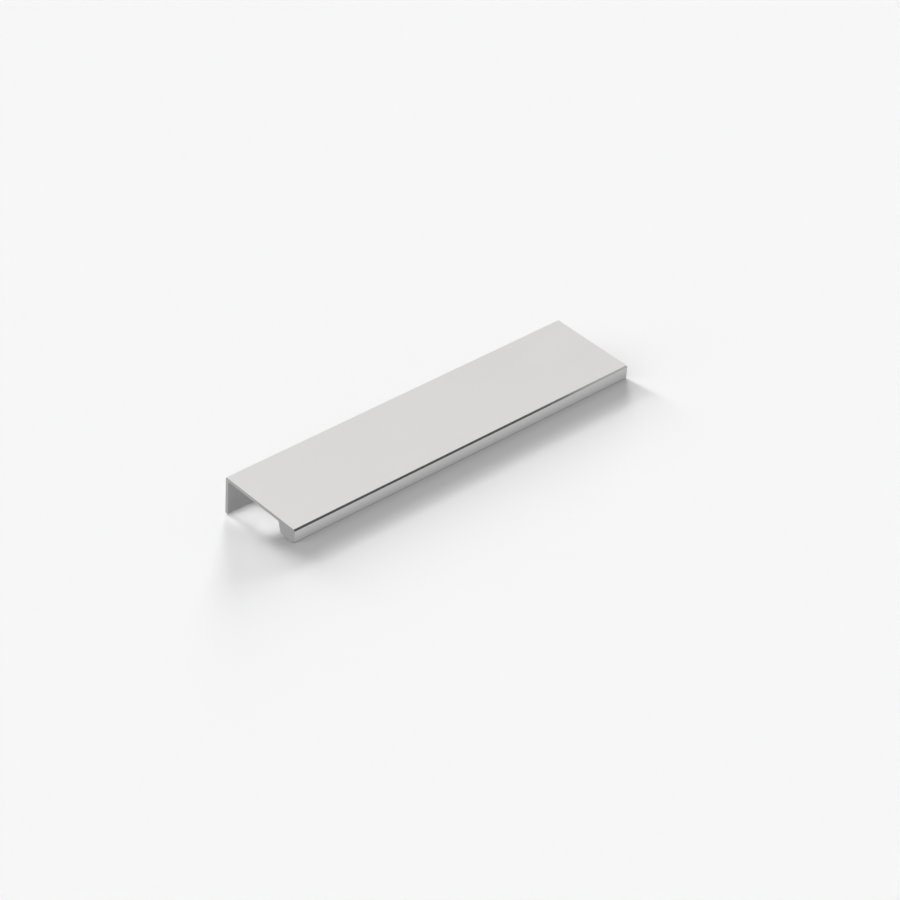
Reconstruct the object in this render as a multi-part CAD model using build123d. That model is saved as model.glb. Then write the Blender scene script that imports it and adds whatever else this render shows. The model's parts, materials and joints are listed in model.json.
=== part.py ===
"""Edge pull: one length of extruded aluminium that screws to the back of a door or drawer front.

A thin plate lies over the front's edge. A thin leg behind it takes the screws, and a thick lip
hangs in front of it for the fingers. The section is drawn as it is fitted, plate level, and the
finished length is then laid down as it rests unheld on a floor, on the leg's foot and the lip.

Millimetres. X runs along the length, -Y is the front and +Z is up.
"""

import os
from math import acos, atan2, degrees, hypot, radians, tan

from build123d import *

# The length and the outside of the section
LENGTH = 160.0
DEPTH = 37.5  # leg's rear face to lip's front face
HEIGHT = 15.6  # leg's foot to top face
PLATE_THICKNESS = 1.25
LEG_THICKNESS = 1.4

# The lip that the fingers pull
LIP_HEIGHT = 5.7  # top face to lip's underside
LIP_WIDTH = 7.3  # flat underside, before its corners are rounded
LIP_BACK_ANGLE = 16.0  # slope of the face behind the lip, from the vertical
BEVEL = 0.6  # taken off the edge between top and front faces, at 45 degrees

# Corners of the section, as the die leaves them
REAR_EDGE_RADIUS = 0.25
FOOT_RADIUS = 0.2
LEG_ROOT_RADIUS = 0.5
LIP_ROOT_RADIUS = 0.8
LIP_BACK_RADIUS = 0.4
LIP_FRONT_RADIUS = 0.5

# Sawn ends
END_BREAK = 0.12  # edge taken off all round each end

# Screw holes through the leg, sunk from behind
SCREW_SPACING = 128.0
SCREW_HEIGHT = 7.0  # foot to screw centre
SCREW_HOLE_DIAMETER = 3.4
SCREW_SINK_DIAMETER = 5.4
SCREW_SINK_ANGLE = 90.0


def section_corners():
    """The section's sharp corners as (y, z), from the rear edge over the lip to the foot."""
    underside = HEIGHT - PLATE_THICKNESS
    lip_foot = HEIGHT - LIP_HEIGHT
    lip_back = LIP_WIDTH - DEPTH
    lip_root = lip_back + (underside - lip_foot) * tan(radians(LIP_BACK_ANGLE))
    return {
        "rear_top": (0, HEIGHT),
        "front_top": (-DEPTH, HEIGHT),
        "lip_front": (-DEPTH, lip_foot),
        "lip_back": (lip_back, lip_foot),
        "lip_root": (lip_root, underside),
        "leg_root": (-LEG_THICKNESS, underside),
        "foot_front": (-LEG_THICKNESS, 0),
        "foot_rear": (0, 0),
    }


def section():
    """The extruded section, standing in the YZ plane, with its edge bevelled and its corners rounded."""
    corners = section_corners()
    rounds = {
        "rear_top": REAR_EDGE_RADIUS,
        "lip_front": LIP_FRONT_RADIUS,
        "lip_back": LIP_BACK_RADIUS,
        "lip_root": LIP_ROOT_RADIUS,
        "leg_root": LEG_ROOT_RADIUS,
        "foot_front": FOOT_RADIUS,
        "foot_rear": FOOT_RADIUS,
    }

    with BuildSketch(Plane.YZ) as profile:
        with BuildLine():
            Polyline(*corners.values(), close=True)
        make_face()

        def corner(name):
            return profile.vertices().sort_by_distance((*corners[name], 0))[0]

        chamfer(corner("front_top"), BEVEL)
        for name, radius in rounds.items():
            fillet(corner(name), radius)
    return profile.sketch


def pull():
    """The cut length with its ends broken and its screw holes sunk, plate level."""
    leg_back = Plane(origin=(0, 0, SCREW_HEIGHT), x_dir=(1, 0, 0), z_dir=(0, 1, 0))
    with BuildPart() as cut_length:
        extrude(section(), amount=LENGTH / 2, both=True)
        ends = cut_length.faces().sort_by(Axis.X)
        chamfer(ends[0].edges() + ends[-1].edges(), END_BREAK)
        with Locations(leg_back):
            with GridLocations(SCREW_SPACING, 0, 2, 1):
                CounterSinkHole(
                    radius=SCREW_HOLE_DIAMETER / 2,
                    counter_sink_radius=SCREW_SINK_DIAMETER / 2,
                    counter_sink_angle=SCREW_SINK_ANGLE,
                )
    return cut_length.part


def rest_tilt():
    """How far the front drops, in degrees, until the lip's front corner is as low as the foot's.

    Both corners are round, so it is the centres of their arcs that are compared.
    """
    corners = section_corners()
    foot_y, foot_z = corners["foot_front"]
    lip_y, lip_z = corners["lip_front"]
    back = (foot_y + FOOT_RADIUS) - (lip_y + LIP_FRONT_RADIUS)
    rise = (lip_z + LIP_FRONT_RADIUS) - (foot_z + FOOT_RADIUS)
    lean = acos((LIP_FRONT_RADIUS - FOOT_RADIUS) / hypot(rise, back))
    return degrees(lean - atan2(back, rise))


def rest_place(level):
    """Where the level part goes to lie on the floor with the middle of its outline at the origin."""
    tilt = Rot(X=rest_tilt())
    box = (tilt * level).bounding_box()
    return Pos(-box.center().X, -box.center().Y, -box.min.Z) * tilt


level_pull = pull()
edge_pull = rest_place(level_pull) * level_pull

os.makedirs("parts", exist_ok=True)
export_step(edge_pull, "parts/edge_pull.step")
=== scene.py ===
import json
from math import atan2, cos, pi, radians, sin

import bpy
from mathutils import Matrix, Vector


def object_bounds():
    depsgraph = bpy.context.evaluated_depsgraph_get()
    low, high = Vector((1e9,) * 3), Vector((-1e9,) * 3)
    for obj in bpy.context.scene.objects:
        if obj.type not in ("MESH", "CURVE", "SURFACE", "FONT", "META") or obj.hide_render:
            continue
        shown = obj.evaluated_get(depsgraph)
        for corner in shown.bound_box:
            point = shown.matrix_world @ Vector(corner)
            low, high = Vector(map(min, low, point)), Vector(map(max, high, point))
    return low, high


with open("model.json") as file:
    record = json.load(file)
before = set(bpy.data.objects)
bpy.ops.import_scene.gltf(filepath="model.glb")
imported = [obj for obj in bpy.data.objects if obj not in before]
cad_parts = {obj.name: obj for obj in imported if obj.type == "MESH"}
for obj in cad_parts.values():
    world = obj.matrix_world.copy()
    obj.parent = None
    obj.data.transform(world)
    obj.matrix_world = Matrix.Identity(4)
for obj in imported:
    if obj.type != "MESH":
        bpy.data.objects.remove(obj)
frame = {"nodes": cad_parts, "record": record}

# Lengths are in millimetres, which MM turns into Blender's metres, and angles in degrees
CAD_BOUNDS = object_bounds()
MM = 0.001
WHITE = (1.0, 1.0, 1.0, 1.0)

# The camera, as the photograph's edges place it: where it looks on the floor, from where and how far
CAMERA_TARGET = Vector((0.462, -8.961, 0.0)) * MM
CAMERA_AZIMUTH = -38.249  # from the front, with plus to the right
CAMERA_ELEVATION = 25.321
CAMERA_ROLL = -7.626
CAMERA_DISTANCE = 1078.58 * MM
CAMERA_LENS = 120.074
SENSOR_WIDTH = 36.0
NEAREST_SEEN = 10.0 * MM
FARTHEST_SEEN = 100000.0 * MM

# The pull as it lies: the screws point forwards and down, square to the leg, and the plate has the same slope
SCREWS = next(mount for mount in frame["record"]["mounts"] if mount["name"] == "screw_holes")
SCREW_AXIS = Vector(SCREWS["axis"])
SCREW_MIDDLE = Vector(SCREWS["pos_m"]) / MM
SCREW_SPACING = SCREWS["dims"]["pcd_mm"]
SCREW_SINK_RADIUS = 2.7
UP_LEG = Vector((1.0, 0.0, 0.0)).cross(SCREW_AXIS)
REST_TILT = atan2(-SCREW_AXIS.z, -SCREW_AXIS.y)
BEVEL_SLOPE = radians(45.0) + REST_TILT
BEVEL_NORMAL = (0.0, -sin(BEVEL_SLOPE), cos(BEVEL_SLOPE))
HALF_LENGTH = CAD_BOUNDS[1][0] / MM
END_BREAK = 0.12

# Colours of the anodised faces and of the sawn ends
ANODISED = (0.80, 0.80, 0.80)
SAWN = (0.45, 0.447, 0.45)

# Where one finish takes over from another: distances, and how squarely a face looks one way
SAWN_DEPTH = 0.2
SINK_MARGIN = 0.1
BEVEL_FACING = (0.96, 0.985)
LEG_FRONT_FACING = (0.3, 0.6)

# Marks along the length: how each noise is stretched along X, Y and Z, its scale and its detail
DIE_LINES = ((0.004, 1.0, 1.0), 2.4, 3.0)
GRAIN = ((0.5, 1.0, 1.0), 12.0, 2.0)
CLOUDS = ((0.5, 1.0, 1.0), 0.06, 2.0)

# Marks in rings, about the saw's axle on the ends and about each screw in the sinks: scale and detail
SAW_AXLE = (0.0, 140.0, 90.0)
SAW_RINGS = (3.2, 3.0)
SINK_RINGS = (9.0, 2.0)

# The part of a mark's range, from 0 to 1, over which it takes effect, and that of two marks added together
WIDE_RANGE = (0.25, 0.75)
NARROW_RANGE = (0.3, 0.7)
ADDED_RANGE = (0.6, 1.4)

# What the marks do over that range: factors of the colour, then roughness
CLOUD_SHADES = (0.992, 1.008)
DIE_LINE_SHADES = (0.995, 1.005)
SAW_SHADES = (0.92, 1.08)
SATIN_ROUGHNESS = (0.38, 0.42)
SINK_ROUGHNESS = (0.22, 0.34)
SAWN_ROUGHNESS = (0.38, 0.50)
BEVEL_ROUGHNESS = 0.15

# How high the marks stand: each one against the die lines, and how high those are
GRAIN_RELIEF = 0.4
SAW_RELIEF = 6.0
SINK_RELIEF = 4.0
RELIEF_STRENGTH = 0.3
RELIEF_HEIGHT = 0.002 * MM

# The floor: how far it reaches and its colour, and its colour as the metal mirrors it back on to the floor
FLOOR_REACH = (-6000.0, 6000.0)
FLOOR_COLOUR = (0.93, 0.93, 0.93, 1.0)
FLOOR_MIRRORED = (0.50, 0.50, 0.50, 1.0)
HALF_A_BOUNCE = 0.5  # between no bounce off the floor and one

# The room as the metal and the camera see it near the horizon and overhead, with the heights on a globe of
# radius 1 between which it changes, and its share of the light on the floor
ROOM_COLOUR = (1.0, 0.992, 0.978, 1.0)
ROOM_HEIGHTS = (0.60, 0.76)
ROOM_LEVELS = (0.72, 0.98)
ROOM_LIGHT = 0.34

# The lamps, which stand far away: compass angle from behind towards the right, height, breadth and the
# share of the floor's light that each gives
LAMPS = {
    "back_middle": (10.0, 14.0, 12.0, 0.20),
    "back_right": (42.0, 11.5, 14.0, 0.20),
    "back_high": (16.0, 22.0, 22.0, 0.16),
    "left": (-62.0, 20.0, 40.0, 0.05),
    "front": (-112.0, 34.0, 36.0, 0.05),
}

# A small lamp under the plate, which lights the floor between leg and lip at the left end
CHANNEL_LAMP_ENDS = (-82.0, -68.0)
CHANNEL_LAMP_SIDES = (-8.0, 17.0)
CHANNEL_LAMP_HEIGHT = 5.5
CHANNEL_LAMP_SPREAD = 110.0
CHANNEL_LAMP_SHARE = 0.52

# A dark card that stands in front of the pull and that the bevel mirrors, paler at its right end
BEVEL_CARD_ENDS = (-140.0, 420.0)
BEVEL_CARD_HEIGHTS = (50.0, 190.0)
BEVEL_CARD_FRONT = -170.0
BEVEL_CARD_CHANGE = (171.0, 183.0)
BEVEL_CARD_STRENGTHS = (0.09, 0.47)

# Cards that lie just above the floor: ends along X, sides along Y, where along Y the strength changes, and
# the strengths. The lip mirrors the front one, the left end the left one and the leg the channel one
LOW_CARD_HEIGHT = 0.2
LOW_CARDS = {
    "front_card": ((-80.0, 130.0), (-150.0, -18.6), (-24.0, -18.4), (0.65, 0.38)),
    "left_card": ((-170.0, -80.3), (-70.0, 60.0), (-18.0, 19.0), (0.74, 0.88)),
    "channel_card": ((-79.5, 79.5), (-10.0, 18.5), (7.0, 18.0), (0.31, 0.275)),
}


class Nodes:
    """A short way to add nodes to a material or world and join them."""

    def __init__(self, owner):
        owner.use_nodes = True
        self.tree = owner.node_tree
        self.tree.nodes.clear()

    def add(self, kind, values=None, **settings):
        """A node with its settings, whose inputs are set to numbers or joined to other nodes."""
        node = self.tree.nodes.new(kind)
        for name, value in settings.items():
            setattr(node, name, value)
        for name, value in (values or {}).items():
            if isinstance(value, bpy.types.NodeSocket):
                self.tree.links.new(value, node.inputs[name])
            else:
                node.inputs[name].default_value = value
        return node

    def math(self, operation, first, second=0.0, clamp=False):
        node = self.add("ShaderNodeMath", {0: first, 1: second}, operation=operation, use_clamp=clamp)
        return node.outputs[0]

    def ramp(self, value, span, results=(0.0, 1.0)):
        """A smooth change from the first result to the second, over a span of the value."""
        limits = {"From Min": span[0], "From Max": span[1], "To Min": results[0], "To Max": results[1]}
        node = self.add("ShaderNodeMapRange", {"Value": value, **limits}, interpolation_type="SMOOTHSTEP")
        return node.outputs[0]

    def mix(self, share, first, second):
        node = self.add("ShaderNodeMix", {0: share, 2: first, 3: second}, data_type="FLOAT")
        return node.outputs[0]

    def mix_colour(self, share, first, second):
        node = self.add("ShaderNodeMix", {0: share, 6: first, 7: second}, data_type="RGBA")
        return node.outputs[2]

    def split(self, vector, axis):
        return self.add("ShaderNodeSeparateXYZ", {0: vector}).outputs[axis]

    def scaled(self, vector, factor):
        node = self.add("ShaderNodeVectorMath", {0: vector, "Scale": factor}, operation="SCALE")
        return node.outputs[0]

    def minus(self, first, second):
        node = self.add("ShaderNodeVectorMath", {0: first, 1: second}, operation="SUBTRACT")
        return node.outputs[0]

    def dot(self, first, second):
        node = self.add("ShaderNodeVectorMath", {0: first, 1: second}, operation="DOT_PRODUCT")
        return node.outputs["Value"]

    def hypotenuse(self, first, second):
        squares = [self.math("MULTIPLY", side, side) for side in (first, second)]
        return self.math("SQRT", self.math("ADD", *squares))

    def noise(self, place, stretch, scale, detail):
        """Noise from 0 to 1, with places in millimetres stretched along each axis."""
        mapped = self.add("ShaderNodeMapping", {"Vector": place, "Scale": stretch})
        node = self.add("ShaderNodeTexNoise", {"Vector": mapped.outputs[0], "Scale": scale, "Detail": detail})
        return node.outputs[0]

    def rings(self, distance, scale, detail):
        """Noise from 0 to 1 that changes with the distance from an axis alone."""
        values = {"W": distance, "Scale": scale, "Detail": detail}
        return self.add("ShaderNodeTexNoise", values, noise_dimensions="1D").outputs[0]

    def left_floor(self, path):
        """1 for a ray that has been on the floor before, and 0 for any other."""
        return self.math("GREATER_THAN", path.outputs["Diffuse Depth"], HALF_A_BOUNCE)


def aim(azimuth, elevation, y_sign):
    """A direction above the floor. Azimuth turns from -Y or +Y, as the sign says, towards +X."""
    turn = radians(azimuth)
    rise = radians(elevation)
    return Vector((sin(turn) * cos(rise), y_sign * cos(turn) * cos(rise), sin(rise)))


def make_camera():
    """A camera turned about its own axis as the photograph is."""
    data = bpy.data.cameras.new("camera")
    data.lens = CAMERA_LENS
    data.sensor_width = SENSOR_WIDTH
    data.clip_start = NEAREST_SEEN
    data.clip_end = FARTHEST_SEEN
    camera = bpy.data.objects.new("camera", data)
    bpy.context.scene.collection.objects.link(camera)
    back = aim(CAMERA_AZIMUTH, CAMERA_ELEVATION, -1.0)
    turn = (-back).to_track_quat("-Z", "Y").to_matrix().to_4x4()
    roll = Matrix.Rotation(radians(CAMERA_ROLL), 4, "Z")
    place = Matrix.Translation(CAMERA_TARGET + back * CAMERA_DISTANCE)
    camera.matrix_world = place @ turn @ roll
    bpy.context.scene.camera = camera


def make_metal():
    """Satin anodised aluminium, with a smoother bevel, sawn ends and turned countersinks."""
    material = bpy.data.materials.new("satin_aluminium")
    nodes = Nodes(material)
    coords = nodes.add("ShaderNodeTexCoord")
    normal = coords.outputs["Normal"]
    place = nodes.scaled(coords.outputs["Object"], 1.0 / MM)
    from_middle = nodes.math("ABSOLUTE", nodes.split(place, "X"))

    # Distances from the axis of the nearer screw and from the saw's axle
    beside_screw = nodes.math("SUBTRACT", from_middle, SCREW_SPACING / 2)
    above_screw = nodes.dot(nodes.minus(place, SCREW_MIDDLE), UP_LEG)
    from_screw = nodes.hypotenuse(beside_screw, above_screw)
    beside_axle = nodes.minus(place, SAW_AXLE)
    from_axle = nodes.hypotenuse(nodes.split(beside_axle, "Y"), nodes.split(beside_axle, "Z"))

    # Where each finish is: 1 there and 0 elsewhere
    end = nodes.ramp(from_middle, (HALF_LENGTH - SAWN_DEPTH, HALF_LENGTH - END_BREAK))
    bevel = nodes.ramp(nodes.dot(normal, BEVEL_NORMAL), BEVEL_FACING)
    near_screw = nodes.ramp(from_screw, (SCREW_SINK_RADIUS, SCREW_SINK_RADIUS + SINK_MARGIN), (1.0, 0.0))
    off_leg_front = nodes.ramp(nodes.dot(normal, SCREW_AXIS), LEG_FRONT_FACING, (1.0, 0.0))
    sink = nodes.math("MULTIPLY", near_screw, off_leg_front)

    die_lines = nodes.noise(place, *DIE_LINES)
    grain = nodes.noise(place, *GRAIN)
    clouds = nodes.noise(place, *CLOUDS)
    saw_rings = nodes.rings(from_axle, *SAW_RINGS)
    sink_rings = nodes.rings(from_screw, *SINK_RINGS)

    cloud_shade = nodes.ramp(clouds, WIDE_RANGE, CLOUD_SHADES)
    die_line_shade = nodes.ramp(die_lines, WIDE_RANGE, DIE_LINE_SHADES)
    anodised = nodes.scaled(ANODISED, nodes.math("MULTIPLY", cloud_shade, die_line_shade))
    sawn = nodes.scaled(SAWN, nodes.ramp(saw_rings, NARROW_RANGE, SAW_SHADES))
    colour = nodes.mix_colour(end, anodised, sawn)

    rough = nodes.ramp(nodes.math("ADD", grain, die_lines), ADDED_RANGE, SATIN_ROUGHNESS)
    rough = nodes.mix(bevel, rough, BEVEL_ROUGHNESS)
    rough = nodes.mix(sink, rough, nodes.ramp(sink_rings, NARROW_RANGE, SINK_ROUGHNESS))
    rough = nodes.mix(end, rough, nodes.ramp(saw_rings, NARROW_RANGE, SAWN_ROUGHNESS))

    relief = nodes.math("ADD", nodes.math("MULTIPLY", grain, GRAIN_RELIEF), die_lines)
    relief = nodes.mix(end, relief, nodes.math("MULTIPLY", saw_rings, SAW_RELIEF))
    relief = nodes.mix(sink, relief, nodes.math("MULTIPLY", sink_rings, SINK_RELIEF))
    bump = nodes.add("ShaderNodeBump", {
        "Height": relief,
        "Strength": RELIEF_STRENGTH,
        "Distance": RELIEF_HEIGHT,
    })

    shader = nodes.add("ShaderNodeBsdfPrincipled", {
        "Base Color": colour,
        "Metallic": 1.0,
        "Roughness": rough,
        "Normal": bump.outputs[0],
    })
    nodes.add("ShaderNodeOutputMaterial", {"Surface": shader.outputs[0]})
    return material


def level_corners(ends, sides, height):
    """The corners of a level rectangle, from its ends along X and its sides along Y."""
    left, right = ends
    front, rear = sides
    return [(left, front, height), (right, front, height), (right, rear, height), (left, rear, height)]


def make_plane(name, corners):
    """A flat piece of the studio from its four corners, with a new material and that material's nodes."""
    mesh = bpy.data.meshes.new(name)
    mesh.from_pydata([tuple(Vector(corner) * MM) for corner in corners], [], [(0, 1, 2, 3)])
    plane = bpy.data.objects.new(name, mesh)
    bpy.context.scene.collection.objects.link(plane)
    material = bpy.data.materials.new(name)
    mesh.materials.append(material)
    return plane, Nodes(material)


def make_floor():
    """A wide pale floor, dimmer to its own light that the metal sends back, so that it doesn't clip there."""
    nodes = make_plane("floor", level_corners(FLOOR_REACH, FLOOR_REACH, 0.0))[1]
    mirrored = nodes.left_floor(nodes.add("ShaderNodeLightPath"))
    colour = nodes.mix_colour(mirrored, FLOOR_COLOUR, FLOOR_MIRRORED)
    shader = nodes.add("ShaderNodeBsdfDiffuse", {"Color": colour})
    nodes.add("ShaderNodeOutputMaterial", {"Surface": shader.outputs[0]})


def make_card(name, corners, axis, change, strengths):
    """A glowing card that only the metal mirrors, whose strength changes once along an axis."""
    card, nodes = make_plane(name, corners)
    card.visible_camera = False
    card.visible_diffuse = False
    card.visible_shadow = False
    along = nodes.split(nodes.add("ShaderNodeTexCoord").outputs["Object"], axis)
    strength = nodes.ramp(along, [place * MM for place in change], strengths)
    shader = nodes.add("ShaderNodeEmission", {"Color": WHITE, "Strength": strength})
    nodes.add("ShaderNodeOutputMaterial", {"Surface": shader.outputs[0]})


def make_cards():
    """The card that stands in front of the pull and those that lie around it."""
    left, right = BEVEL_CARD_ENDS
    low, high = BEVEL_CARD_HEIGHTS
    front = BEVEL_CARD_FRONT
    corners = [(left, front, low), (right, front, low), (right, front, high), (left, front, high)]
    make_card("bevel_card", corners, "X", BEVEL_CARD_CHANGE, BEVEL_CARD_STRENGTHS)
    for name, (ends, sides, change, strengths) in LOW_CARDS.items():
        make_card(name, level_corners(ends, sides, LOW_CARD_HEIGHT), "Y", change, strengths)


def make_world():
    """A pale room, a little dimmer near the horizon, that lights the floor evenly."""
    world = bpy.data.worlds.new("studio")
    bpy.context.scene.world = world
    nodes = Nodes(world)
    height = nodes.split(nodes.add("ShaderNodeTexCoord").outputs["Generated"], "Z")
    level = nodes.ramp(height, ROOM_HEIGHTS, ROOM_LEVELS)
    seen = nodes.add("ShaderNodeBackground", {"Color": ROOM_COLOUR, "Strength": level})
    light = nodes.add("ShaderNodeBackground", {"Color": WHITE, "Strength": ROOM_LIGHT})
    path = nodes.add("ShaderNodeLightPath")
    mirrored = nodes.math("MAXIMUM", path.outputs["Is Glossy Ray"], path.outputs["Is Transmission Ray"])
    mirrored = nodes.math("SUBTRACT", mirrored, nodes.left_floor(path), clamp=True)
    shows = nodes.math("MAXIMUM", path.outputs["Is Camera Ray"], mirrored)
    both = nodes.add("ShaderNodeMixShader", {0: shows, 1: light.outputs[0], 2: seen.outputs[0]})
    nodes.add("ShaderNodeOutputWorld", {"Surface": both.outputs[0]})


def make_lamp(name, azimuth, elevation, breadth, share):
    """A broad soft light on the floor, which the metal doesn't mirror."""
    data = bpy.data.lights.new(name, "SUN")
    data.angle = radians(breadth)
    data.energy = share * pi / sin(radians(elevation))
    lamp = bpy.data.objects.new(name, data)
    bpy.context.scene.collection.objects.link(lamp)
    lamp.rotation_euler = (-aim(azimuth, elevation, 1.0)).to_track_quat("-Z", "Y").to_euler()
    lamp.visible_glossy = False


def make_channel_lamp():
    """A lamp that shines straight down from under the plate and is not seen itself."""
    left, right = CHANNEL_LAMP_ENDS
    front, rear = CHANNEL_LAMP_SIDES
    data = bpy.data.lights.new("channel_lamp", "AREA")
    data.shape = "RECTANGLE"
    data.size = (right - left) * MM
    data.size_y = (rear - front) * MM
    data.spread = radians(CHANNEL_LAMP_SPREAD)
    data.energy = CHANNEL_LAMP_SHARE * pi * data.size * data.size_y
    lamp = bpy.data.objects.new("channel_lamp", data)
    bpy.context.scene.collection.objects.link(lamp)
    lamp.location = Vector(((left + right) / 2, (front + rear) / 2, CHANNEL_LAMP_HEIGHT)) * MM
    lamp.visible_camera = False
    lamp.visible_glossy = False


make_camera()
pull = frame["nodes"]["edge_pull"]
pull.data.materials.clear()
pull.data.materials.append(make_metal())
make_floor()
make_cards()
make_world()
for name, settings in LAMPS.items():
    make_lamp(name, *settings)
make_channel_lamp()

bpy.context.scene.view_settings.view_transform = "Standard"
